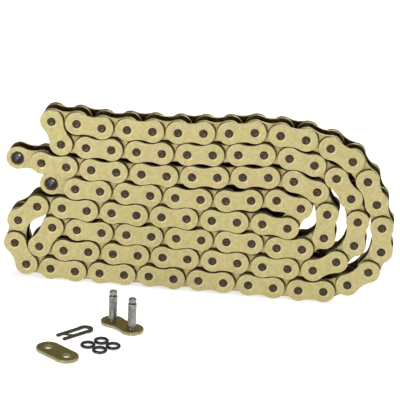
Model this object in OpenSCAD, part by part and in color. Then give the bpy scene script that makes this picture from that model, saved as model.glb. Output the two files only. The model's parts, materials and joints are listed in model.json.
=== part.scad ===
// Sealed roller chain for a motorcycle final drive, laid in eight rows and
// standing on its edge, with its loose connecting link set out on the floor.
// Pins run along Y, +Z is up, and the origin is the middle of the footprint.

/* [Chain] */
// Distance between two pins
pitch = 15.875; // [15.5:0.025:16.2]
// Gap between a pair of inner plates, where the sprocket tooth runs
inner_width = 7.94; // [6.4:0.02:9.6]
// Thickness of every plate
plate_t = 2.0; // [1.6:0.05:2.4]
// Radius of a plate's rounded ends
plate_r = 7.3; // [6.6:0.05:7.35]
// Half the height of a plate at its waist
waist_r = 5.9; // [5.2:0.05:6.2]
// Room for the seal between an inner and an outer plate
seal_gap = 1.05; // [0.8:0.05:1.5]

/* [Pins and rollers] */
// Radius of a chain pin
pin_r = 2.62; // [2.4:0.01:2.7]
// How far a riveted pin end stands proud of its plate
pin_proud = 0.85; // [0.3:0.05:1.2]
// Outer radius of a bush
bush_r = 3.65; // [3.4:0.01:3.8]
// Outer radius of a roller
roller_r = 5.08; // [4.8:0.01:5.2]

/* [Seals] */
// Inner radius of a fitted seal
seal_in_r = 2.95; // [2.8:0.05:3.2]
// Outer radius of a fitted seal
seal_out_r = 4.75; // [4.2:0.05:5.2]
// Thickness of a free sealing ring's cord
ring_cord = 1.9; // [1.5:0.05:2.2]
// Outer radius of a free sealing ring
ring_out_r = 4.6; // [4.2:0.05:4.75]

/* [Connecting link] */
// Length of a connecting pin above its plate
link_pin_h = 19.6; // [19:0.1:21]
// Radius at the bottom of the clip groove
groove_r = 2.1; // [1.8:0.05:2.3]
// Thickness of the spring clip
clip_t = 1.0; // [0.8:0.05:1.1]
// Where the connecting link stands, from the middle of the chain's floor line
kit_x = -36; // [-70:1:-30]
// How far in front of the chain the connecting link stands
kit_y = -70; // [-85:1:-60]

/* [Hidden] */
$fn = 64;

// Running and assembly clearances
bush_bore_r = pin_r + 0.06;
pin_hole_r = pin_r + 0.02;
bush_hole_r = bush_r + 0.01;
roller_bore_r = bush_r + 0.1;
side_play = 0.12;
seal_play = 0.03;
link_hole_r = pin_r + 0.08;
shank_r = pin_r + 0.2;
tip_r = pin_r - 0.2;

// Faces along the pins, measured from the middle of the chain
inner_face = inner_width / 2;
inner_back = inner_face + plate_t;
outer_face = inner_back + seal_gap;
outer_back = outer_face + plate_t;
bush_half = inner_back + seal_play;
roller_half = inner_face - side_play;
pin_half = outer_back + pin_proud;

// The lay of the chain: its direction at the free end, then the turn in
// degrees at each pin in order, to the left when positive.
first_heading = -3.25;
row_3 = [-2, 3, 1.5, 1, 0, 2.5, 1, 1.5, -1];
turn_3_to_6 = [-8.5, -17, -42.5, -30, -52.5, -32, -7];
row_6 = [6, 0, 0, 0, 0, -0.5, -2, 0.5];
turn_6_to_7 = [60, 116, 6.5];
row_7 = [-1, 1, -0.5, 0, 0, -1, -3.5, 4, 1.5];
turn_7_to_2 = [24, 23.5, 36.5, 23, 19.5, 24, 16, 8.5, 7.5];
row_2 = [1, -1.5, -1.5, -1.5, -0.5, -1, -2.5];
turn_2_to_1 = [-63.5, -114.5, -4.5];
row_1 = [6.5, 0, 1, 1.5, 1.5, 1.5];
turn_1_to_8 = [-8.5, -3.5, -9.5, -12.5, -23, -15, -8.5, -13.5, -28, -26, -16.5, -19.5];
row_8 = [-3, -1, 1.5, 0, 1.5, -2.5, 3, -1, 0, -2.5];
turn_8_to_5 = [-4.5, -55.5, -36, -42, -39];
row_5 = [-3, 1, 0.5, 1, 0, 0, 0, 0];
turn_5_to_4 = [-6, 66.5, 104, 20];
row_4 = [1, -5, -0.5, -1, 0.5, -1, 0, -3.5];
turns = concat(
    row_3, turn_3_to_6, row_6, turn_6_to_7, row_7, turn_7_to_2, row_2, turn_2_to_1,
    row_1, turn_1_to_8, row_8, turn_8_to_5, row_5, turn_5_to_4, row_4
);

// Link k joins pins k and k + 1. Even links are inner, odd links are outer.
links = len(turns) + 1;
last = links - 1;
headings = [for (i = 0, h = first_heading; i < links; h = h + (i < last ? turns[i] : 0), i = i + 1) h];
function step(i) = pitch * [cos(headings[min(i, last)]), sin(headings[min(i, last)])];
route = [for (i = 0, p = [0, 0]; i <= links; p = p + step(i), i = i + 1) p];
route_x = [for (p = route) p.x];
route_z = [for (p = route) p.y];

// The connecting link's pieces, as [x, y, turn] from where the link stands
link_at = [0, 0, -34];
side_plate_at = [-31, -45, -37];
clip_at = [-21, -9, -131.5];
rings_at = [-8, -30, 5.5];
ring_spread = [7.5, 6.4];

// The footprint's middle becomes the origin
chain_mid_x = (max(route_x) + min(route_x)) / 2;
floor_z = min(route_z) - plate_r;
front_y = kit_y + side_plate_at.y - pitch / 2 * sin(-side_plate_at.z) - plate_r;
shift_y = -(front_y + pin_half) / 2;

// Top row rollers that turn on their own, by pin number
top_first = 54;
top_count = 10;

// Rows of the chain that share nodes: name, first link and last link
ROWS = [
    ["rows_3_6", 2, 24], ["row_7", 25, 45], ["rows_1_2", 46, 61], ["row_8", 62, 83], ["rows_4_5", 84, 107]
];
KINDS = ["_outer_plates", "_inner_plates", "_pins", "_bushes", "_rollers", "_seals"];
NODES = concat(
    [for (r = ROWS) for (k = KINDS) str(r[0], k)],
    [for (i = [1:top_count]) str("top_roller_", i)],
    ["first_link_plates", "first_link_bushes", "first_link_roller_1", "first_link_roller_2"],
    ["second_link_plates", "second_link_pins", "second_link_seals"],
    ["last_link_plates", "last_link_bushes", "last_link_roller_1", "last_link_roller_2"],
    ["kit_link_plate", "kit_link_pins", "kit_side_plate", "kit_clip"],
    [for (i = [1:4]) str("kit_ring_", i)]
);
node = "all";

function drawn(name) = node == "all" || node == name;
function is_inner(k) = k % 2 == 0;
function both_sides(edge) =
    concat([for (p = edge) [p.x, -p.y]], [for (i = [len(edge) - 1:-1:0]) edge[i]]);

// Puts its children, drawn about Z, on pin i with Z along the pin
module at_pin(i) {
    translate([route[i].x - chain_mid_x, shift_y, route[i].y - floor_z])
        rotate([90, 0, 0])
            children();
}

// Puts its children, drawn with the link along X, on link k
module at_link(k) {
    translate([route[k].x - chain_mid_x, shift_y, route[k].y - floor_z])
        rotate([0, -headings[k], 0])
            rotate([90, 0, 0])
                children();
}

// Puts its children on the floor at one of the kit's places
module at_kit(place) {
    translate([kit_x + place.x, kit_y + place.y + shift_y, 0])
        rotate([0, 0, place.z])
            children();
}

// A link plate's flat shape: two round ends and a hollow waist between them
module plate_shape(hole_r, waist) {
    flank_r = waist < plate_r ? ((pitch / 2) ^ 2 + waist ^ 2 - plate_r ^ 2) / (2 * (plate_r - waist)) : 0;
    tangent_y = waist < plate_r ? plate_r * (waist + flank_r) / (plate_r + flank_r) : plate_r;
    difference() {
        union() {
            for (x = [0, pitch])
                translate([x, 0])
                    circle(plate_r);
            translate([0, -tangent_y])
                square([pitch, 2 * tangent_y]);
        }
        for (x = [0, pitch])
            translate([x, 0])
                circle(hole_r);
        if (flank_r > 0)
            for (side = [-1, 1])
                translate([pitch / 2, side * (waist + flank_r)])
                    circle(flank_r, $fn = 180);
    }
}

// A link plate, with its near face at height z
module plate(z, hole_r, waist = waist_r) {
    translate([0, 0, z])
        linear_extrude(plate_t)
            plate_shape(hole_r, waist);
}

// A matching pair of plates with inner faces at z and -z
module plate_pair(z, hole_r) {
    plate(z, hole_r);
    plate(-z - plate_t, hole_r);
}

// A round bar from z0 to z1 with chamfered ends
module bar(r, z0, z1, chamfer) {
    rotate_extrude()
        polygon([
            [0, z0], [r - chamfer, z0], [r, z0 + chamfer],
            [r, z1 - chamfer], [r - chamfer, z1], [0, z1]
        ]);
}

// A tube of the given half length with a small outer chamfer
module tube(r, bore, half, chamfer) {
    rotate_extrude()
        polygon([
            [bore, -half], [r - chamfer, -half], [r, chamfer - half],
            [r, half - chamfer], [r - chamfer, half], [bore, half]
        ]);
}

// The part's small pieces, each drawn about Z
module pin() {
    bar(pin_r, -pin_half, pin_half, 0.3);
}
module bush() {
    tube(bush_r, bush_bore_r, bush_half, 0.1);
}
module roller() {
    tube(roller_r, roller_bore_r, roller_half, 0.3);
}
module seal_pair() {
    for (side = [-1, 1])
        scale([1, 1, side])
            translate([0, 0, (bush_half + outer_face) / 2])
                tube(seal_out_r, seal_in_r, (outer_face - bush_half) / 2 - seal_play, 0.25);
}

// The pieces of a stretch of chain, from link a to link b
module outer_plates(a, b) {
    color([0.83, 0.79, 0.55])
        for (k = [a:b])
            if (!is_inner(k))
                at_link(k)
                    plate_pair(outer_face, pin_hole_r);
}
module inner_plates(a, b) {
    color([0.80, 0.75, 0.50])
        for (k = [a:b])
            if (is_inner(k))
                at_link(k)
                    plate_pair(inner_face, bush_hole_r);
}
module pins(a, b) {
    color([0.33, 0.29, 0.31])
        for (k = [a:b])
            if (!is_inner(k))
                for (i = [k, k + 1])
                    at_pin(i)
                        pin();
}
module bushes(a, b) {
    color([0.24, 0.23, 0.24])
        for (k = [a:b])
            if (is_inner(k))
                for (i = [k, k + 1])
                    at_pin(i)
                        bush();
}
module roller_at(i) {
    color([0.28, 0.25, 0.24])
        at_pin(i)
            roller();
}
module rollers(a, b) {
    for (k = [a:b])
        if (is_inner(k))
            for (i = [k, k + 1])
                if (i < top_first || i >= top_first + top_count)
                    roller_at(i);
}
module seals(a, b) {
    color([0.08, 0.08, 0.08])
        for (k = [a:b])
            if (!is_inner(k))
                for (i = [k, k + 1])
                    at_pin(i)
                        seal_pair();
}

// The connecting link's lower plate, lying on the floor
module kit_link_plate() {
    color([0.62, 0.58, 0.34])
        at_kit(link_at)
            translate([-pitch / 2, 0, 0])
                plate(0, shank_r + 0.02);
}

// Its two standing pins. Each has a swollen shank pressed into the plate, a
// groove for the clip just past where the side plate comes, and a slimmer tip
module kit_link_pins() {
    top = plate_t + link_pin_h;
    groove_low = 2 * outer_back + 0.15;
    groove_high = groove_low + clip_t + 0.15;
    chamfer = 0.45;
    color([0.62, 0.61, 0.60])
        at_kit(link_at)
            for (x = [-pitch / 2, pitch / 2])
                translate([x, 0, 0])
                    rotate_extrude()
                        polygon([
                            [0, 0], [shank_r, 0], [shank_r, plate_t], [pin_r, plate_t],
                            [pin_r, groove_low], [groove_r, groove_low],
                            [groove_r, groove_high], [tip_r, groove_high], [tip_r, top - chamfer],
                            [tip_r - chamfer, top], [0, top]
                        ]);
}

// The loose side plate, a pill with straight sides
module kit_side_plate() {
    color([0.62, 0.58, 0.30])
        at_kit(side_plate_at)
            translate([-pitch / 2, 0, 0])
                plate(0, link_hole_r, plate_r);
}

// The spring clip: a closed round end, a long slot, a pinched neck and an open
// mouth with a seat for the second pin
module kit_clip() {
    end_r = 4.9;
    leg_half = 4.45;
    seat_r = groove_r + 0.05;
    slot_half = 1.9;
    neck_x = 11.4;
    neck_half = 0.5;
    tip_x = pitch + 3.4;
    outer = [[-1, leg_half], [tip_x - 0.6, leg_half], [tip_x, leg_half - 0.7]];
    gap = [
        [0, slot_half], [neck_x - 0.8, slot_half], [neck_x + 0.8, neck_half], [pitch, neck_half],
        [pitch + 1.4, 1.5], [tip_x + 1, 2.9]
    ];
    color([0.22, 0.21, 0.18])
        at_kit(clip_at)
            linear_extrude(clip_t)
                difference() {
                    union() {
                        circle(end_r);
                        polygon(both_sides(outer));
                    }
                    for (x = [0, pitch])
                        translate([x, 0])
                            circle(seat_r);
                    polygon(both_sides(gap));
                }
}

// One of four free sealing rings, laid in a rhombus
module kit_ring(i) {
    places = [[-1, 0], [1, 0], [0, 1], [0, -1]];
    color([0.06, 0.06, 0.07])
        at_kit(rings_at)
            translate([places[i - 1].x * ring_spread.x, places[i - 1].y * ring_spread.y, ring_cord / 2])
                rotate_extrude()
                    translate([ring_out_r - ring_cord / 2, 0])
                        circle(ring_cord / 2, $fn = 32);
}

for (r = ROWS) {
    if (drawn(str(r[0], "_outer_plates"))) outer_plates(r[1], r[2]);
    if (drawn(str(r[0], "_inner_plates"))) inner_plates(r[1], r[2]);
    if (drawn(str(r[0], "_pins"))) pins(r[1], r[2]);
    if (drawn(str(r[0], "_bushes"))) bushes(r[1], r[2]);
    if (drawn(str(r[0], "_rollers"))) rollers(r[1], r[2]);
    if (drawn(str(r[0], "_seals"))) seals(r[1], r[2]);
}
for (i = [1:top_count]) {
    if (drawn(str("top_roller_", i))) roller_at(top_first + i - 1);
}
if (drawn("first_link_plates")) inner_plates(0, 0);
if (drawn("first_link_bushes")) bushes(0, 0);
if (drawn("first_link_roller_1")) roller_at(0);
if (drawn("first_link_roller_2")) roller_at(1);
if (drawn("second_link_plates")) outer_plates(1, 1);
if (drawn("second_link_pins")) pins(1, 1);
if (drawn("second_link_seals")) seals(1, 1);
if (drawn("last_link_plates")) inner_plates(last, last);
if (drawn("last_link_bushes")) bushes(last, last);
if (drawn("last_link_roller_1")) roller_at(last);
if (drawn("last_link_roller_2")) roller_at(last + 1);
if (drawn("kit_link_plate")) kit_link_plate();
if (drawn("kit_link_pins")) kit_link_pins();
if (drawn("kit_side_plate")) kit_side_plate();
if (drawn("kit_clip")) kit_clip();
for (i = [1:4]) {
    if (drawn(str("kit_ring_", i))) kit_ring(i);
}
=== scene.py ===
"""The looks of a sealed roller chain laid in rows, with its loose connecting link in front of it."""

import json
import math

import bmesh
import bpy
import numpy as np
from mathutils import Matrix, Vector


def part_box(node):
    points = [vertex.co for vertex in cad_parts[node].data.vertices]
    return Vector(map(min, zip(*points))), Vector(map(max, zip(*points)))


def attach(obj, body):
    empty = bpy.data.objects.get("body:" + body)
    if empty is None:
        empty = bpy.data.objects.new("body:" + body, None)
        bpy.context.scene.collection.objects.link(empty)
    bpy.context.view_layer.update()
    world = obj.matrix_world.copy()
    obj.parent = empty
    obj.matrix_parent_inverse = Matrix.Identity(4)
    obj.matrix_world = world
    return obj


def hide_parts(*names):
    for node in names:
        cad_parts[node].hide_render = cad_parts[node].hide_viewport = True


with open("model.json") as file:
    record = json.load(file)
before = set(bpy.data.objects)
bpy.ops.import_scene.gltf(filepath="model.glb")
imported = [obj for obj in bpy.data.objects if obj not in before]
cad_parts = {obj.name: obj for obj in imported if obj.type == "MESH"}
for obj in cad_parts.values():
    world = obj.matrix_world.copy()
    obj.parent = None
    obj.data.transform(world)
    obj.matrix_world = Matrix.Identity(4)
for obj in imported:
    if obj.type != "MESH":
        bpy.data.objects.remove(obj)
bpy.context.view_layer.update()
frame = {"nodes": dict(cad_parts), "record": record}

MM = 0.001

# Driving sizes of the chain, as the CAD model has them
PITCH = 15.875 * MM
PLATE_R = 7.3 * MM
WAIST = 5.9 * MM
PLATE_T = 2.0 * MM
PIN_R = 2.62 * MM
PIN_HOLE_R = 2.64 * MM
BUSH_HOLE_R = 3.66 * MM
BUSH_R = 3.65 * MM
BUSH_BORE_R = 2.68 * MM
ROLLER_R = 5.08 * MM
ROLLER_BORE_R = 3.75 * MM
SEAL_IN_R = 2.95 * MM
SEAL_OUT_R = 4.75 * MM
SHANK_R = 2.82 * MM
SHANK_HOLE_R = 2.84 * MM
TIP_R = 2.42 * MM
SIDE_HOLE_R = 2.70 * MM
GROOVE_R = 2.1 * MM
RING_CORD_R = 0.95 * MM
RING_OUT_R = 4.6 * MM
CLIP_T = 1.0 * MM
CLIP_TURN = math.radians(-131.5)

# How finely round shapes are drawn
HEAD_STEPS = 30
WAIST_STEPS = 10
HOLE_STEPS = 32
LATHE_STEPS = 40
EDGE_STEPS = 4


# ---------------------------------------------------------------- forms

class Form:
    """A closed shape in its own axes.

    It holds corners and faces, which faces are smooth, and which corners are rims or inside.
    """

    def __init__(self, bm, rim_layer):
        bmesh.ops.recalc_face_normals(bm, faces=bm.faces)
        bm.verts.ensure_lookup_table()
        self.points = np.array([v.co[:] for v in bm.verts])
        self.rims = np.array([v[rim_layer] for v in bm.verts])
        self.inside = np.zeros(len(self.points))
        self.faces = [[v.index for v in f.verts] for f in bm.faces]
        self.smooth = [f.smooth for f in bm.faces]
        bm.free()


def new_bmesh():
    bm = bmesh.new()
    return bm, bm.verts.layers.float.new("rim")


def add_loop(bm, layer, flat, height, rim):
    """A closed loop of corners at one height, from flat points."""
    loop = []
    for u, v in flat:
        corner = bm.verts.new((u, v, height))
        corner[layer] = rim
        loop.append(corner)
    return loop


def bridge(bm, a, b, smooth=True):
    """A band of faces between two loops of the same length."""
    n = len(a)
    for i in range(n):
        face = bm.faces.new((a[i], a[(i + 1) % n], b[(i + 1) % n], b[i]))
        face.smooth = smooth


def cap(bm, loops):
    """Flat faces over what lies between an outer loop and the loops inside it."""
    edges = []
    for loop in loops:
        n = len(loop)
        edges += [bm.edges.get((loop[i], loop[(i + 1) % n])) for i in range(n)]
    for face in bmesh.ops.triangle_fill(bm, use_beauty=True, edges=edges)["geom"]:
        if isinstance(face, bmesh.types.BMFace):
            face.smooth = False


def arc(cx, cy, r, start, end, steps, closed=False):
    """Points along an arc in degrees; the last point is left out unless closed."""
    count = steps + 1 if closed else steps
    out = []
    for i in range(count):
        a = math.radians(start + (end - start) * i / steps)
        out.append((cx + r * math.cos(a), cy + r * math.sin(a)))
    return out


def circle(cx, r, steps=HOLE_STEPS):
    return arc(cx, 0, r, 0, 360, steps)


def plate_outline(inset, waist):
    """A plate's outline, drawn in by inset: round ends, and a hollow or a straight flank between them."""
    half = PITCH / 2
    if waist >= PLATE_R:
        r = PLATE_R - inset
        flank = [(half - PITCH * i / WAIST_STEPS, r) for i in range(WAIST_STEPS)]
        right = arc(half, 0, r, -90, 90, HEAD_STEPS)
        return right + flank + [(-u, -v) for u, v in right + flank]
    flank_r = (half ** 2 + waist ** 2 - PLATE_R ** 2) / (2 * (PLATE_R - waist))
    lean = math.degrees(math.asin(half / (PLATE_R + flank_r)))
    right = arc(half, 0, PLATE_R - inset, -90 - lean, 90 + lean, HEAD_STEPS)
    flank = arc(0, waist + flank_r, flank_r + inset, lean - 90, -lean - 90, WAIST_STEPS)
    return right + flank + [(-u, -v) for u, v in right + flank]


def rounded(edge):
    """(inset, height) steps round an edge, from the flat face to the wall."""
    out = []
    for i in range(EDGE_STEPS + 1):
        a = math.radians(90 * i / EDGE_STEPS)
        out.append((edge * (1 - math.sin(a)), edge * (1 - math.cos(a))))
    return out


# The ring that staking presses round a pin: millimetres out from the hole, millimetres down, and rim
STAKED_RING = (
    (0, 0.05, 0.6), (0.22, 0.02, 1.0), (0.42, 0.10, 0.2), (0.72, 0.11, 0.1),
    (0.95, 0.03, 0.8), (1.10, 0, 0.5), (1.40, 0, 0),
)


def plate_form(hole_r, waist=WAIST, edge=0.42 * MM, staked=False, oil_and_shade=True):
    """A pressed link plate with rolled edges, and on a staked plate a ring pressed in round each pin."""
    bm, layer = new_bmesh()
    bevel = rounded(edge)
    lip = rounded(0.16 * MM)
    margin = 0.22 * MM
    wall = [(edge + margin, 0, 0)] + [(c, h, 1) for c, h in bevel]
    wall += [(c, PLATE_T - h, 1) for c, h in reversed(bevel)] + [(edge + margin, PLATE_T, 0)]
    loops = [add_loop(bm, layer, plate_outline(c, waist), h, rim) for c, h, rim in wall]
    for a, b in zip(loops, loops[1:]):
        bridge(bm, a, b)
    bottom, top = [loops[0]], [loops[-1]]
    for cx in (-PITCH / 2, PITCH / 2):
        profile = [(hole_r + lip[0][0] + margin, 0, 0)] + [(hole_r + c, h, 0.5) for c, h in lip]
        if staked:
            profile += [(hole_r + out * MM, PLATE_T - down * MM, rim) for out, down, rim in STAKED_RING]
        else:
            profile += [(hole_r + c, PLATE_T - h, 0.5) for c, h in reversed(lip)]
            profile += [(hole_r + lip[0][0] + margin, PLATE_T, 0)]
        rings = [add_loop(bm, layer, circle(cx, r), h, rim) for r, h, rim in profile]
        for a, b in zip(rings, rings[1:]):
            bridge(bm, a, b)
        bottom.append(rings[0])
        top.append(rings[-1])
    cap(bm, bottom)
    cap(bm, top)
    form = Form(bm, layer)
    # The inward face is marked for the dark oil colour, which is partly oil and partly painted shade.
    if oil_and_shade:
        form.inside = (form.points[:, 2] < 0.4 * edge).astype(float)
    return form


def lathe_form(profile, steps=LATHE_STEPS, ring=False):
    """A turned shape from (radius, height, rim) steps.

    It is solid from end to end, or a ring if the profile closes.
    """
    bm, layer = new_bmesh()
    loops = []
    for r, h, rim in profile:
        if r > 0:
            loops.append(add_loop(bm, layer, circle(0, r, steps), h, rim))
        else:
            tip = bm.verts.new((0, 0, h))
            tip[layer] = rim
            loops.append([tip])
    pairs = list(zip(loops, loops[1:]))
    if ring:
        pairs.append((loops[-1], loops[0]))
    for a, b in pairs:
        if len(a) > 1 and len(b) > 1:
            bridge(bm, a, b)
            continue
        tip, loop = (a[0], b) if len(a) == 1 else (b[0], a)
        for i in range(len(loop)):
            bm.faces.new((tip, loop[i], loop[(i + 1) % len(loop)])).smooth = True
    return Form(bm, layer)


def mirrored(steps):
    """A profile that runs up one half of a piece, run on down to its other end."""
    return [(r, -h, rim) for r, h, rim in reversed(steps)] + steps


def pin_form(half):
    """A riveted chain pin: a softly rounded end with a shallow dimple."""
    end = [
        (PIN_R, half - 2.6 * MM, 0), (PIN_R, half - 0.62 * MM, 0.1),
        (2.60 * MM, half - 0.40 * MM, 0.4), (2.52 * MM, half - 0.22 * MM, 1),
        (2.36 * MM, half - 0.09 * MM, 1), (2.12 * MM, half - 0.02 * MM, 0.6),
        (1.75 * MM, half, 0.2), (1.45 * MM, half, 0.2), (1.22 * MM, half - 0.05 * MM, 0.5),
        (1.00 * MM, half - 0.13 * MM, 0.1), (0.5 * MM, half - 0.16 * MM, 0), (0, half - 0.17 * MM, 0),
    ]
    return lathe_form(mirrored(end))


def tube_form(r, bore, half, edge):
    """A tube with rolled outer and inner edges."""
    outside = [(r - c, half - h, 1) for c, h in reversed(rounded(edge))]
    inside = [(bore + c, half - h, 0.5) for c, h in rounded(edge / 2)]
    top = [(r, half - 2.5 * edge, 0)] + outside + inside + [(bore, half - 2 * edge, 0)]
    bottom = [(a, -h, rim) for a, h, rim in reversed(top)]
    return lathe_form(top + bottom, ring=True)


def seal_form(half):
    """A fitted seal, squeezed between two plates so that its outer wall bulges."""
    profile = []
    steps = 16
    squareness = 0.7
    middle = (SEAL_IN_R + SEAL_OUT_R) / 2
    for i in range(steps):
        a = 2 * math.pi * i / steps
        r = middle + (SEAL_OUT_R - middle) * math.copysign(abs(math.cos(a)) ** squareness, math.cos(a))
        h = half * math.copysign(abs(math.sin(a)) ** squareness, math.sin(a))
        profile.append((r, h, 0))
    return lathe_form(profile, ring=True)


def ring_form():
    """A free sealing ring, with the fine moulding line round its outside."""
    profile = []
    steps = 24
    for i in range(steps):
        a = 2 * math.pi * i / steps
        proud = 0.985 if i else 1
        r = RING_OUT_R - RING_CORD_R + RING_CORD_R * proud * math.cos(a)
        profile.append((r, RING_CORD_R * math.sin(a), 1 if i == 0 else 0))
    return lathe_form(profile, steps=64, ring=True)


def kit_pin_form(height, groove_low, groove_high):
    """A connecting pin, standing: swollen shank, ground shaft, clip groove and chamfered tip."""
    soft = 0.08 * MM
    form = lathe_form([
        (0, 0.10 * MM, 0), (SHANK_R - 0.5 * MM, 0.06 * MM, 0.2),
        (SHANK_R - 0.2 * MM, 0, 0.8), (SHANK_R, 0.2 * MM, 0.6),
        (SHANK_R, PLATE_T, 0), (PIN_R, PLATE_T + 0.02 * MM, 0.4), (PIN_R, PLATE_T + 0.5 * MM, 0),
        (PIN_R, groove_low - 0.6 * MM, 0), (PIN_R, groove_low - soft, 0.3), (PIN_R - soft, groove_low, 1),
        (GROOVE_R + soft, groove_low, 0), (GROOVE_R, groove_low + soft, 0),
        (GROOVE_R, groove_high - soft, 0), (GROOVE_R + soft, groove_high, 0),
        (TIP_R - soft, groove_high, 1), (TIP_R, groove_high + soft, 0.4),
        (TIP_R, height - 0.65 * MM, 0), (TIP_R - 0.05 * MM, height - 0.5 * MM, 1),
        (TIP_R - 0.42 * MM, height - 0.06 * MM, 1), (TIP_R - 0.6 * MM, height, 0.3),
        (1.0 * MM, height, 0), (0.8 * MM, height - 0.12 * MM, 0.6), (0, height - 0.2 * MM, 0),
    ])
    radius = np.hypot(form.points[:, 0], form.points[:, 1])
    form.inside = (np.abs(radius - GROOVE_R) < 0.05 * MM).astype(float)
    return form


# ---------------------------------------------------------------- where the CAD has each solid

def solids(node):
    """The lowest and highest corners of each separate solid in a CAD node, in a steady order."""
    mesh = frame["nodes"][node].data
    co = np.zeros(len(mesh.vertices) * 3)
    mesh.vertices.foreach_get("co", co)
    co = co.reshape(-1, 3)
    _, same = np.unique(np.round(co / (0.001 * MM)).astype(np.int64), axis=0, return_inverse=True)
    same = same.ravel()
    edges = np.zeros(len(mesh.edges) * 2, np.int64)
    mesh.edges.foreach_get("vertices", edges)
    a, b = same[edges.reshape(-1, 2)].T
    label = np.arange(same.max() + 1)
    while True:
        low = np.minimum(label[a], label[b])
        nxt = label.copy()
        np.minimum.at(nxt, a, low)
        np.minimum.at(nxt, b, low)
        nxt = nxt[nxt]
        if np.array_equal(nxt, label):
            break
        label = nxt
    part = label[same]
    out = []
    for p in np.unique(part):
        mine = co[part == p]
        out.append((mine.min(0), mine.max(0)))
    return sorted(out, key=lambda box: tuple(np.round((box[0] + box[1]) / 2, 5)))


def middles(node):
    return [(low + high) / 2 for low, high in solids(node)]


RECORD = frame["record"]
BODY_OF = {n: body for body, names in RECORD["behaviour"]["bodies"].items() for n in names}
MOUNT = {m["name"]: np.array(m["pos_m"]) for m in RECORD["mounts"]}
CHAIN_Y = MOUNT["first_end_bore"][1]

pivots = []
for name in frame["nodes"]:
    if name.endswith("_pins") and not name.startswith("kit"):
        pivots += middles(name)
    elif name in ("first_link_bushes", "last_link_bushes"):
        pivots += middles(name)
pivots = np.array(pivots)


def along_link(middle):
    """The direction of a link in the chain's plane, from the two pins half a pitch from its middle."""
    apart = pivots[:, [0, 2]] - middle[[0, 2]]
    far = np.abs(np.hypot(apart[:, 0], apart[:, 1]) - PITCH / 2)
    pin = apart[np.argmin(far)]
    pin = pin / np.hypot(*pin)
    if pin[0] < 0:
        pin = -pin
    return np.array([pin[0], 0, pin[1]])


# ---------------------------------------------------------------- pieces

SEED = 525
rng = np.random.default_rng(SEED)

# How far aside, and how far above, a pin of another row lies when that row covers a place
COVER_ASIDE = 9 * MM
COVER_LOW = 9.5 * MM
COVER_HIGH = 22 * MM


def covered(place):
    """1 where another row of the chain lies close over a place, otherwise 0."""
    apart = pivots - place
    over = (np.abs(apart[:, 0]) < COVER_ASIDE) & (apart[:, 2] > COVER_LOW) & (apart[:, 2] < COVER_HIGH)
    return float(over.any())


def build(name, placings):
    """One mesh from forms set at places: each placing is (form, origin, along, up, out)."""
    points, faces, smooth, rims, insides, tones, covers, spots = [], [], [], [], [], [], [], []
    start = 0
    for form, origin, e_u, e_v, e_w in placings:
        basis = np.array([e_u, e_v, e_w], float)
        points.append(form.points @ basis + np.asarray(origin))
        flip = np.linalg.det(basis) < 0
        for f in form.faces:
            ids = [start + i for i in f]
            faces.append(ids[::-1] if flip else ids)
        smooth += form.smooth
        rims.append(form.rims)
        insides.append(form.inside)
        spots.append(form.points)
        tones.append(np.full(len(form.points), rng.random()))
        covers.append(np.full(len(form.points), covered(origin)))
        start += len(form.points)
    mesh = bpy.data.meshes.new(name)
    mesh.from_pydata(np.concatenate(points).tolist(), [], faces)
    mesh.polygons.foreach_set("use_smooth", smooth)
    for label, values in (("rim", rims), ("inside", insides), ("tone", tones), ("covered", covers)):
        layer = mesh.attributes.new(label, "FLOAT", "POINT")
        layer.data.foreach_set("value", np.concatenate(values).astype(np.float32))
    layer = mesh.attributes.new("spot", "FLOAT_VECTOR", "POINT")
    layer.data.foreach_set("vector", np.concatenate(spots).ravel().astype(np.float32))
    mesh.update()
    piece = bpy.data.objects.new(name, mesh)
    bpy.context.scene.collection.objects.link(piece)
    return piece


def settle(piece, node, material):
    """Makes a piece stand for a CAD node: same body, its own material."""
    piece.data.materials.append(material)
    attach(piece, BODY_OF[node])
    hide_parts(node)


def plates_at(node, form):
    """Placings of a form at every plate of a chain node, with its outer face outwards."""
    out = []
    for low, high in solids(node):
        middle = (low + high) / 2
        along = along_link(middle)
        side = 1 if middle[1] > CHAIN_Y else -1
        up = np.array([-along[2], 0, along[0]])
        origin = middle - np.array([0, side * PLATE_T / 2, 0])
        out.append((form, origin, along, up, (0, side, 0)))
    return out


def turned_at(node, form):
    """Placings of a turned form along the pins of a chain node, each turned a little differently."""
    out = []
    for middle in middles(node):
        a = rng.random() * math.tau
        along = (math.cos(a), 0, math.sin(a))
        up = (-math.sin(a), 0, math.cos(a))
        out.append((form, middle, along, up, (0, -1, 0)))
    return out


def middle_of(node):
    low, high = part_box(node)
    return (np.array(low) + np.array(high)) / 2


def flat_way(a, b):
    """Directions along and across on the floor, from point a towards point b."""
    way = np.array([b[0] - a[0], b[1] - a[1], 0.0])
    way /= np.hypot(way[0], way[1])
    return way, np.array([-way[1], way[0], 0.0])


# ---------------------------------------------------------------- materials

def shade(r, g, b):
    """A screen colour, 0 to 255, as the light value that a shader wants."""
    out = []
    for v in (r, g, b):
        v /= 255
        out.append(v / 12.92 if v <= 0.04045 else ((v + 0.055) / 1.055) ** 2.4)
    return (*out, 1)


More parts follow.
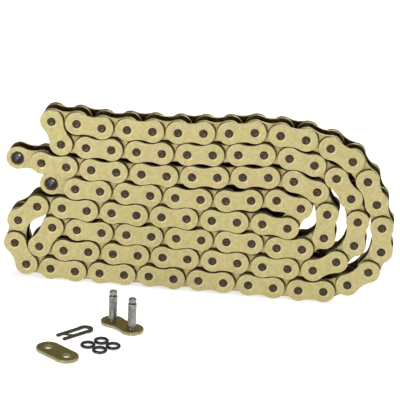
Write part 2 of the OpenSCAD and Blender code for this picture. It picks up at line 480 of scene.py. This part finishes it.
class Paint:
    """A material made step by step from procedural parts."""

    def __init__(self, name):
        self.material = bpy.data.materials.new(name)
        self.material.use_nodes = True
        self.tree = self.material.node_tree
        self.surface = self.tree.nodes["Principled BSDF"]
        self.where = self.tree.nodes.new("ShaderNodeTexCoord").outputs["Object"]

    def put(self, socket, value):
        if isinstance(value, bpy.types.NodeSocket):
            self.tree.links.new(value, socket)
        else:
            socket.default_value = value

    def noise(self, size, detail=3.0, rough=0.55):
        """Cloudy noise whose patches are about size across, from 0 to 1."""
        node = self.tree.nodes.new("ShaderNodeTexNoise")
        node.inputs["Scale"].default_value = 1 / size
        node.inputs["Detail"].default_value = detail
        node.inputs["Roughness"].default_value = rough
        self.tree.links.new(self.where, node.inputs["Vector"])
        return node.outputs["Fac"]

    def cells(self, size):
        """Distance to the nearest of many scattered points."""
        node = self.tree.nodes.new("ShaderNodeTexVoronoi")
        node.inputs["Scale"].default_value = 1 / size
        self.tree.links.new(self.where, node.inputs["Vector"])
        return node.outputs["Distance"]

    def ramp(self, value, low, high, to_low=0.0, to_high=1.0):
        """Maps value from low..high to to_low..to_high, and holds it there outside."""
        node = self.tree.nodes.new("ShaderNodeMapRange")
        node.interpolation_type = "SMOOTHSTEP"
        self.put(node.inputs["Value"], value)
        for key, amount in (("From Min", low), ("From Max", high), ("To Min", to_low), ("To Max", to_high)):
            node.inputs[key].default_value = amount
        return node.outputs["Result"]

    def mix(self, amount, a, b, how="MIX"):
        node = self.tree.nodes.new("ShaderNodeMix")
        node.data_type = "RGBA"
        node.blend_type = how
        self.put(node.inputs["Factor"], amount)
        colours = [s for s in node.inputs if s.type == "RGBA"]
        self.put(colours[0], a)
        self.put(colours[1], b)
        return next(s for s in node.outputs if s.type == "RGBA")

    def sum(self, a, b, how="ADD"):
        node = self.tree.nodes.new("ShaderNodeMath")
        node.operation = how
        self.put(node.inputs[0], a)
        self.put(node.inputs[1], b)
        return node.outputs[0]

    def part(self, label):
        """A number carried by the mesh."""
        node = self.tree.nodes.new("ShaderNodeAttribute")
        node.attribute_name = label
        return node.outputs["Fac"]

    def spot(self, axis):
        """Where a point is in its own form's axes, in metres."""
        spot = self.tree.nodes.new("ShaderNodeAttribute")
        spot.attribute_name = "spot"
        axes = self.tree.nodes.new("ShaderNodeSeparateXYZ")
        self.tree.links.new(spot.outputs["Vector"], axes.inputs["Vector"])
        return axes.outputs[axis]

    def length(self, u, v):
        squares = self.sum(self.sum(u, u, "MULTIPLY"), self.sum(v, v, "MULTIPLY"))
        return self.sum(squares, 0.5, "POWER")

    def from_hole(self):
        """On a plate, the distance in millimetres to the nearer hole's axis."""
        u = self.sum(self.sum(self.spot("X"), 0.0, "ABSOLUTE"), PITCH / 2, "SUBTRACT")
        return self.sum(self.length(u, self.spot("Y")), MM, "DIVIDE")

    def from_axis(self):
        """On a turned piece, the distance in millimetres to its own axis."""
        return self.sum(self.length(self.spot("X"), self.spot("Y")), MM, "DIVIDE")

    def bump(self, height, depth, below=None):
        node = self.tree.nodes.new("ShaderNodeBump")
        node.inputs["Strength"].default_value = 1.0
        node.inputs["Distance"].default_value = depth
        self.put(node.inputs["Height"], height)
        if below is not None:
            self.tree.links.new(below, node.inputs["Normal"])
        return node.outputs["Normal"]

    def finish(self, colour, rough, metal, normal=None):
        self.put(self.surface.inputs["Base Color"], colour)
        self.put(self.surface.inputs["Roughness"], rough)
        self.put(self.surface.inputs["Metallic"], metal)
        if normal is not None:
            self.tree.links.new(normal, self.surface.inputs["Normal"])
        return self.material


# Dark colours laid on the plates: grease and oil, and painted shade in the same colours in gaps and under
# rows lying overhead.
GREASE_AND_SHADE_TINT = shade(50, 34, 12)
OIL_AND_SHADE_TINT = shade(56, 36, 12)


def gold(name, main, warm, rim, metal=0.45, staked=False, grease_and_shade_reach=None, flank_shade=0.0, wall_shade=0.0):
    """Thin gold plating over peened steel: uneven in hue, speckled, and paler where an edge has rubbed.

    The last three settings say three things. First, how far from a hole's axis grease and painted shade reach
    on the outward face, in millimetres. Then how dark the painted shade on the flanks gets, and how dark the
    painted shade on the edge walls gets; the last two mostly where another row lies over the plate.
    """
    p = Paint(name)
    from_hole = p.from_hole()
    colour = p.mix(p.ramp(p.noise(4 * MM), 0.38, 0.60), main, warm)
    colour = p.mix(p.ramp(p.part("tone"), 0, 1, 0, 0.55), colour, warm)
    middle = p.sum(p.ramp(from_hole, 4.6, 6.6), p.ramp(p.noise(0.9 * MM, 2), 0.35, 0.65), "MULTIPLY")
    colour = p.mix(p.sum(middle, 0.5, "MULTIPLY"), colour, warm)
    colour = p.mix(p.ramp(p.noise(1.8 * MM, 2), 0.35, 0.65, 0, 0.8), colour, shade(236, 231, 222), "MULTIPLY")
    speck = p.ramp(p.noise(0.35 * MM, 2), 0.58, 0.78, 0, 0.40)
    colour = p.mix(speck, colour, shade(150, 128, 84), "MULTIPLY")
    marks = p.ramp(p.noise(0.9 * MM, 4, 0.7), 0.58, 0.70, 0, 0.7)
    colour = p.mix(marks, colour, shade(176, 150, 104), "MULTIPLY")
    worn = p.sum(p.part("rim"), p.ramp(p.noise(0.8 * MM), 0.3, 0.7, 0.10, 0.50), "MULTIPLY")
    colour = p.mix(worn, colour, rim)
    outward = p.ramp(p.spot("Z"), PLATE_T - 0.05 * MM, PLATE_T - 0.01 * MM)
    # Painted shade below is strong where another row lies over the plate and weak elsewhere.
    row_shade = p.ramp(p.part("covered"), 0, 1, 0.15, 1.0)
    grease_and_shade = 0.0
    if staked:
        halo = p.sum(p.ramp(from_hole, 2.7, 2.9), p.ramp(from_hole, 3.4, 3.9, 1, 0), "MULTIPLY")
        colour = p.mix(p.sum(halo, 0.12, "MULTIPLY"), colour, rim)
    # A dark ring on the outward face round each hole. On the end plates it is grease round the bushes. On the
    # inner plates it is painted shade just outside the heads of the outer plates that lie over them.
    if grease_and_shade_reach:
        ragged = p.sum(from_hole, p.ramp(p.noise(1.4 * MM), 0.3, 0.7, -0.2, 0.2))
        grease_and_shade = p.sum(p.ramp(ragged, grease_and_shade_reach - 0.1, grease_and_shade_reach + 0.4, 0.9, 0), outward, "MULTIPLY")
        # Painted shade along the flanks of a plate, mostly where another row lies over it.
        flank = p.sum(
            p.sum(p.spot("Y"), 0.0, "ABSOLUTE"), p.ramp(p.noise(1.2 * MM), 0.3, 0.7, -0.4 * MM, 0.4 * MM)
        )
        flank_shading = p.sum(p.ramp(flank, 4.9 * MM, 5.9 * MM, 0, flank_shade), row_shade, "MULTIPLY")
        grease_and_shade = p.sum(grease_and_shade, flank_shading, "MAXIMUM")
        colour = p.mix(grease_and_shade, colour, GREASE_AND_SHADE_TINT)
    # Each plate's inward face takes the dark oil colour: partly oil, partly painted shade.
    oil_and_shade = p.sum(p.part("inside"), p.ramp(p.noise(2.5 * MM), 0.3, 0.7, 0.88, 1.0), "MULTIPLY")
    if wall_shade:
        # Painted shade on the edge walls, mostly where another row lies over the plate.
        wall = p.ramp(p.spot("Z"), PLATE_T - 0.45 * MM, PLATE_T - 0.12 * MM, wall_shade, 0)
        wall = p.sum(wall, p.ramp(p.noise(1.7 * MM), 0.3, 0.7, 0.7, 1.0), "MULTIPLY")
        oil_and_shade = p.sum(oil_and_shade, p.sum(wall, row_shade, "MULTIPLY"), "MAXIMUM")
    colour = p.mix(oil_and_shade, colour, OIL_AND_SHADE_TINT)
    # Where no grease, oil or painted shade lies, the plating keeps its shine.
    undarkened = p.sum(1.0, p.sum(oil_and_shade, grease_and_shade, "MAXIMUM"), "SUBTRACT")
    p.put(p.surface.inputs["Specular IOR Level"], p.sum(undarkened, 0.5, "MULTIPLY"))
    rough = p.ramp(p.noise(1.6 * MM), 0.3, 0.7, 0.40, 0.54)
    peened = p.bump(p.cells(0.45 * MM), 0.016 * MM)
    lumpy = p.bump(p.noise(2.2 * MM, 2), 0.03 * MM, peened)
    return p.finish(colour, rough, p.sum(undarkened, metal, "MULTIPLY"), lumpy)


def steel(name, dark, light, rough_low, rough_high, metal, patch=0.9 * MM, rim=None):
    """Bare or blackened steel: patchy, with turning or grinding marks."""
    p = Paint(name)
    colour = p.mix(p.ramp(p.noise(patch), 0.35, 0.68), dark, light)
    colour = p.mix(p.ramp(p.part("tone"), 0, 1, 0, 0.25), colour, dark)
    # Paler on rounded edges: a painted highlight.
    if rim:
        colour = p.mix(p.sum(p.part("rim"), 0.6, "MULTIPLY"), colour, rim)
    # Darker in a connecting pin's clip groove.
    colour = p.mix(p.sum(p.part("inside"), 0.8, "MULTIPLY"), colour, shade(34, 31, 27))
    rough = p.ramp(p.noise(patch * 1.7), 0.3, 0.7, rough_low, rough_high)
    marks = p.bump(p.noise(0.15 * MM, 2), 0.002 * MM)
    return p.finish(colour, rough, metal, marks)


def pin_ends(name):
    """Riveted pins: blackened ends, each a little different, with a painted shade ring near each end's edge,
    and a bright side where they stand proud, partly bare steel and partly a painted highlight.
    """
    p = Paint(name)
    colour = p.mix(p.ramp(p.noise(1.1 * MM), 0.35, 0.65), shade(50, 41, 33), shade(72, 62, 52))
    colour = p.mix(p.ramp(p.part("tone"), 0.55, 1.0, 0, 0.5), colour, shade(52, 56, 43))
    ragged = p.sum(p.from_axis(), p.ramp(p.noise(0.9 * MM), 0.3, 0.7, -0.12, 0.12))
    # A ring of painted shade on each end near its edge.
    edge_shade = p.sum(p.ramp(ragged, 1.9, 2.3), p.ramp(ragged, 2.4, 2.58, 0.7, 0), "MULTIPLY")
    colour = p.mix(edge_shade, colour, shade(22, 15, 10))
    # The proud side is painted bright: partly bare steel, partly a painted highlight.
    side = p.ramp(ragged, 2.54, 2.64)
    colour = p.mix(side, colour, shade(176, 168, 152))
    rough = p.ramp(p.noise(0.8 * MM), 0.3, 0.7, 0.30, 0.46)
    return p.finish(colour, rough, 0.85, p.bump(p.noise(0.3 * MM, 2), 0.006 * MM))


def bush_ends(name):
    """Bushes: black and greasy on the outside and the ends, with a polished bore."""
    p = Paint(name)
    outside = p.mix(p.ramp(p.noise(0.8 * MM), 0.35, 0.65), shade(12, 10, 8), shade(28, 23, 19))
    bore = p.mix(p.ramp(p.noise(1.2 * MM), 0.35, 0.65), shade(74, 72, 80), shade(100, 98, 108))
    polished = p.ramp(p.from_axis(), 2.74, 2.90, 1, 0)
    rough = p.ramp(polished, 0, 1, 0.5, 0.52)
    metal = p.sum(polished, 0.7, "MULTIPLY")
    p.put(p.surface.inputs["Specular IOR Level"], p.ramp(polished, 0, 1, 0.2, 0.5))
    return p.finish(p.mix(polished, outside, bore), rough, metal, p.bump(p.noise(0.3 * MM, 2), 0.006 * MM))


def rubber(name, dark, light):
    """Black sealing rubber, slightly shiny with grease, with a pale painted highlight along its seam."""
    p = Paint(name)
    colour = p.mix(p.ramp(p.noise(1.3 * MM), 0.4, 0.7), dark, light)
    # A painted highlight along the moulding seam.
    colour = p.mix(p.sum(p.part("rim"), 0.5, "MULTIPLY"), colour, shade(70, 69, 66))
    rough = p.ramp(p.noise(0.9 * MM), 0.3, 0.7, 0.28, 0.46)
    return p.finish(colour, rough, 0.0, p.bump(p.noise(0.25 * MM), 0.012 * MM))


OUTER_GOLD = gold(
    "outer_plate_plating", shade(176, 170, 108), shade(180, 168, 118), shade(206, 198, 152),
    staked=True, wall_shade=0.6,
)
# The inner plates' colours are a little brighter than the outer plates': painted light that offsets the shade
# the recessed inner plates stand in.
INNER_GOLD = gold(
    "inner_plate_plating", shade(186, 179, 108), shade(186, 172, 112), shade(206, 196, 150),
    grease_and_shade_reach=7.5, flank_shade=0.7, wall_shade=0.75,
)
END_GOLD = gold(
    "end_plate_plating", shade(174, 169, 106), shade(178, 167, 114), shade(206, 196, 150), grease_and_shade_reach=4.3
)
# The kit plates' main colours are darker than the chain's: painted shade for the dark reflection on their
# flat tops.
KIT_GOLD = gold("kit_plating", shade(118, 110, 58), shade(112, 98, 56), shade(214, 208, 164), 0.5)
PIN_STEEL = pin_ends("pin_ends")
BUSH_STEEL = bush_ends("bush_ends")
ROLLER_STEEL = steel(
    "oiled_rollers", shade(62, 42, 22), shade(92, 66, 38), 0.30, 0.48, 0.5, rim=shade(104, 80, 52)
)
KIT_PIN_STEEL = steel(
    "ground_pins", shade(118, 120, 116), shade(150, 152, 147), 0.24, 0.34, 0.8, 2.5 * MM,
    rim=shade(176, 178, 172),
)
SPRING_STEEL = steel(
    "blued_clip", shade(38, 38, 32), shade(66, 66, 54), 0.28, 0.42, 0.45, rim=shade(120, 116, 104)
)
SEAL_RUBBER = rubber("seal_rubber_black", shade(16, 13, 10), shade(30, 25, 20))
RING_RUBBER = rubber("ring_rubber_black", shade(14, 14, 15), shade(30, 30, 31))


# ---------------------------------------------------------------- the chain

outer_form = plate_form(PIN_HOLE_R, staked=True)
inner_form = plate_form(BUSH_HOLE_R)
low, high = solids("row_8_pins")[0]
pin = pin_form((high[1] - low[1]) / 2)
low, high = solids("row_8_bushes")[0]
bush = tube_form(BUSH_R, BUSH_BORE_R, (high[1] - low[1]) / 2, 0.30 * MM)
low, high = solids("row_8_rollers")[0]
roller = tube_form(ROLLER_R, ROLLER_BORE_R, (high[1] - low[1]) / 2, 0.35 * MM)
low, high = solids("row_8_seals")[0]
seal = seal_form((high[1] - low[1]) / 2)

for node in sorted(frame["nodes"]):
    if node.startswith("kit"):
        continue
    if node.endswith("_plates"):
        end = node in ("first_link_plates", "last_link_plates")
        inner = end or node.endswith("inner_plates")
        piece = build(node + "_made", plates_at(node, inner_form if inner else outer_form))
        settle(piece, node, END_GOLD if end else INNER_GOLD if inner else OUTER_GOLD)
    elif node.endswith("_pins"):
        settle(build(node + "_made", turned_at(node, pin)), node, PIN_STEEL)
    elif node.endswith("_bushes"):
        settle(build(node + "_made", turned_at(node, bush)), node, BUSH_STEEL)
    elif node.endswith("_seals"):
        settle(build(node + "_made", turned_at(node, seal)), node, SEAL_RUBBER)
    else:
        settle(build(node + "_made", turned_at(node, roller)), node, ROLLER_STEEL)


# ---------------------------------------------------------------- the connecting link's parts

UP = np.array([0.0, 0.0, 1.0])
GROOVE_BELOW_TIP = 3.41 * MM
GROOVE_WIDTH = 1.15 * MM


def upright_at(node, form, turn=0.0):
    """Placings of a turned form, standing on the floor at each solid of a kit node."""
    way = (math.cos(turn), math.sin(turn), 0)
    across = (-math.sin(turn), math.cos(turn), 0)
    return [(form, (m[0], m[1], 0), way, across, UP) for m in middles(node)]


a, b = middles("kit_link_pins")
way, across = flat_way(a, b)
centre = (a + b) / 2
link_form = plate_form(SHANK_HOLE_R, oil_and_shade=False)
link_plate = build("kit_link_plate_made", [(link_form, (centre[0], centre[1], 0), way, across, UP)])
settle(link_plate, "kit_link_plate", KIT_GOLD)

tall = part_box("kit_link_pins")[1][2]
groove_low = tall - GROOVE_BELOW_TIP
link_pin = kit_pin_form(tall, groove_low, groove_low + GROOVE_WIDTH)
settle(build("kit_link_pins_made", upright_at("kit_link_pins", link_pin)), "kit_link_pins", KIT_PIN_STEEL)

a, b = MOUNT["side_plate_hole_1"], MOUNT["side_plate_hole_2"]
way, across = flat_way(a, b)
centre = (a + b) / 2
side_form = plate_form(SIDE_HOLE_R, PLATE_R, oil_and_shade=False)
side_plate = build("kit_side_plate_made", [(side_form, (centre[0], centre[1], 0), way, across, UP)])
settle(side_plate, "kit_side_plate", KIT_GOLD)

for i in range(1, 5):
    node = "kit_ring_%d" % i
    m = middle_of(node)
    ring = build(node + "_made", [(ring_form(), m, (1, 0, 0), (0, 1, 0), UP)])
    settle(ring, node, RING_RUBBER)


def softened(points, reach):
    """A closed outline with each sharp corner turned into a short curve."""
    out = []
    n = len(points)
    for i in range(n):
        before, here, after = (Vector(points[j % n]) for j in (i - 1, i, i + 1))
        back, on = before - here, after - here
        if (-back).angle(on, 0) < math.radians(25):
            out.append(tuple(here))
            continue
        start = here + back.normalized() * min(reach, back.length * 0.45)
        end = here + on.normalized() * min(reach, on.length * 0.45)
        for s in range(5):
            t = s / 4
            out.append(tuple((1 - t) ** 2 * start + 2 * t * (1 - t) * here + t * t * end))
    return out


def clip_outline():
    """The spring clip's outline: round end, slot, pinched neck, and a mouth round the second pin.

    Its sizes here are in millimetres, and the points it returns are in metres.
    """
    end_r, leg, seat_r, slot, neck, pitch = 4.9, 4.45, 2.15, 1.9, 0.5, PITCH / MM
    tip = pitch + 3.4
    meets = 180 - math.degrees(math.asin(leg / end_r))
    upper = arc(0, 0, end_r, 180, 180 - meets, 20, closed=True)
    upper += [(tip - 0.6, leg), (tip, leg - 0.7), (tip, 2.43)]
    upper += arc(pitch, 0, seat_r, 44, 166.5, 12, closed=True)
    upper += [(12.2, neck), (10.6, slot)]
    upper += arc(0, 0, seat_r, math.degrees(math.asin(slot / seat_r)), 180, 14, closed=True)
    lower = [(u, -v) for u, v in reversed(upper[1:-1])]
    return [(u * MM, v * MM) for u, v in softened(upper + lower, 0.5)]


turned = [
    (u * math.cos(CLIP_TURN) - v * math.sin(CLIP_TURN), u * math.sin(CLIP_TURN) + v * math.cos(CLIP_TURN))
    for u, v in clip_outline()
]
clip_box = [np.array(corner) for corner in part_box("kit_clip")]
shift = (clip_box[0][:2] + clip_box[1][:2]) / 2 - (np.min(turned, 0) + np.max(turned, 0)) / 2
turned = [(u + shift[0], v + shift[1]) for u, v in turned]

bm, layer = new_bmesh()
under = add_loop(bm, layer, turned, 0, 0)
over = add_loop(bm, layer, turned, CLIP_T, 0)
bridge(bm, under, over)
cap(bm, [under])
cap(bm, [over])
clip_form = Form(bm, layer)
clip = build("kit_clip_made", [(clip_form, (0, 0, 0), (1, 0, 0), (0, 1, 0), UP)])
soft = clip.modifiers.new("pressed_edges", "BEVEL")
soft.width = 0.14 * MM
soft.segments = 3
soft.limit_method = "ANGLE"
soft.angle_limit = math.radians(50)
soft.harden_normals = True
settle(clip, "kit_clip", SPRING_STEEL)


# ---------------------------------------------------------------- floor, light and camera

def on_stage(data, name, at=(0, 0, 0)):
    thing = bpy.data.objects.new(name, data)
    bpy.context.scene.collection.objects.link(thing)
    thing.location = at
    return thing


floor_mesh = bpy.data.meshes.new("floor")
FAR = 6.0
floor_mesh.from_pydata([(-FAR, -FAR, 0), (FAR, -FAR, 0), (FAR, FAR, 0), (-FAR, FAR, 0)], [], [(0, 1, 2, 3)])
FLOOR_DROP = 0.0002
FLOOR_GLOW = 0.70
WORLD_LIGHT = 0.16
on_stage(floor_mesh, "floor", (0, 0, -FLOOR_DROP))
sweep = Paint("white_sweep")
floor_colour = sweep.mix(sweep.ramp(sweep.noise(0.4), 0.3, 0.7), (0.90, 0.90, 0.90, 1), (0.93, 0.93, 0.93, 1))
sweep.put(sweep.surface.inputs["Emission Color"], (1, 1, 1, 1))
sweep.put(sweep.surface.inputs["Emission Strength"], FLOOR_GLOW)
floor_mesh.materials.append(sweep.finish(floor_colour, 0.8, 0.0))

world = bpy.data.worlds.new("studio")
bpy.context.scene.world = world
world.use_nodes = True
world.node_tree.nodes["Background"].inputs["Color"].default_value = (1, 1, 1, 1)
world.node_tree.nodes["Background"].inputs["Strength"].default_value = WORLD_LIGHT

# The camera's angles in degrees, its distance, its lens in millimetres, and the point it faces. They
# were fitted by a separate program to the chain's pins, and weren't chosen by hand.
AZIMUTH, ELEVATION, ROLL = 6.36, 20.96, 2.40
DISTANCE = 1.174
LENS = 169.7
AIM_ASIDE = 1.6 * MM
AIM_FORWARD = 9.87 * MM
AIM_HEIGHT = 63.3 * MM

chain_low, chain_high = (np.array(corner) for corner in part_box("first_link_bushes"))
chain_y = (chain_low[1] + chain_high[1]) / 2
AIM = Vector((AIM_ASIDE, chain_y - AIM_FORWARD, AIM_HEIGHT))


def lamp(name, at, size, power):
    """A square soft light that faces the middle of the chain."""
    data = bpy.data.lights.new(name, "AREA")
    data.size = size
    data.energy = power
    thing = on_stage(data, name, at)
    thing.rotation_euler = (AIM - Vector(at)).to_track_quat("-Z", "Y").to_euler()


lamp("key_left", (-0.60, -1.40, 0.22), 0.5, 12)
lamp("top_box", (0.10, 0.20, 1.40), 0.7, 10)
lamp("right_edge", (1.10, -0.60, 0.60), 0.4, 4)
lamp("back_fill", (0.40, 1.40, 0.80), 0.9, 9)

azimuth, elevation, roll = (math.radians(v) for v in (AZIMUTH, ELEVATION, ROLL))
back = Vector((
    math.sin(azimuth) * math.cos(elevation), -math.cos(azimuth) * math.cos(elevation), math.sin(elevation),
))
right = Vector((math.cos(azimuth), math.sin(azimuth), 0))
up = back.cross(right)
tilted_right = right * math.cos(roll) + up * math.sin(roll)
tilted_up = up * math.cos(roll) - right * math.sin(roll)

lens = bpy.data.cameras.new("camera")
lens.lens = LENS
lens.clip_start = 0.05
lens.clip_end = 30
camera = on_stage(lens, "camera")
matrix = camera.matrix_world.copy()
for column, axis in enumerate((tilted_right, tilted_up, back, AIM + back * DISTANCE)):
    for row in range(3):
        matrix[row][column] = axis[row]
camera.matrix_world = matrix
bpy.context.scene.camera = camera
bpy.context.scene.view_settings.view_transform = "Standard"
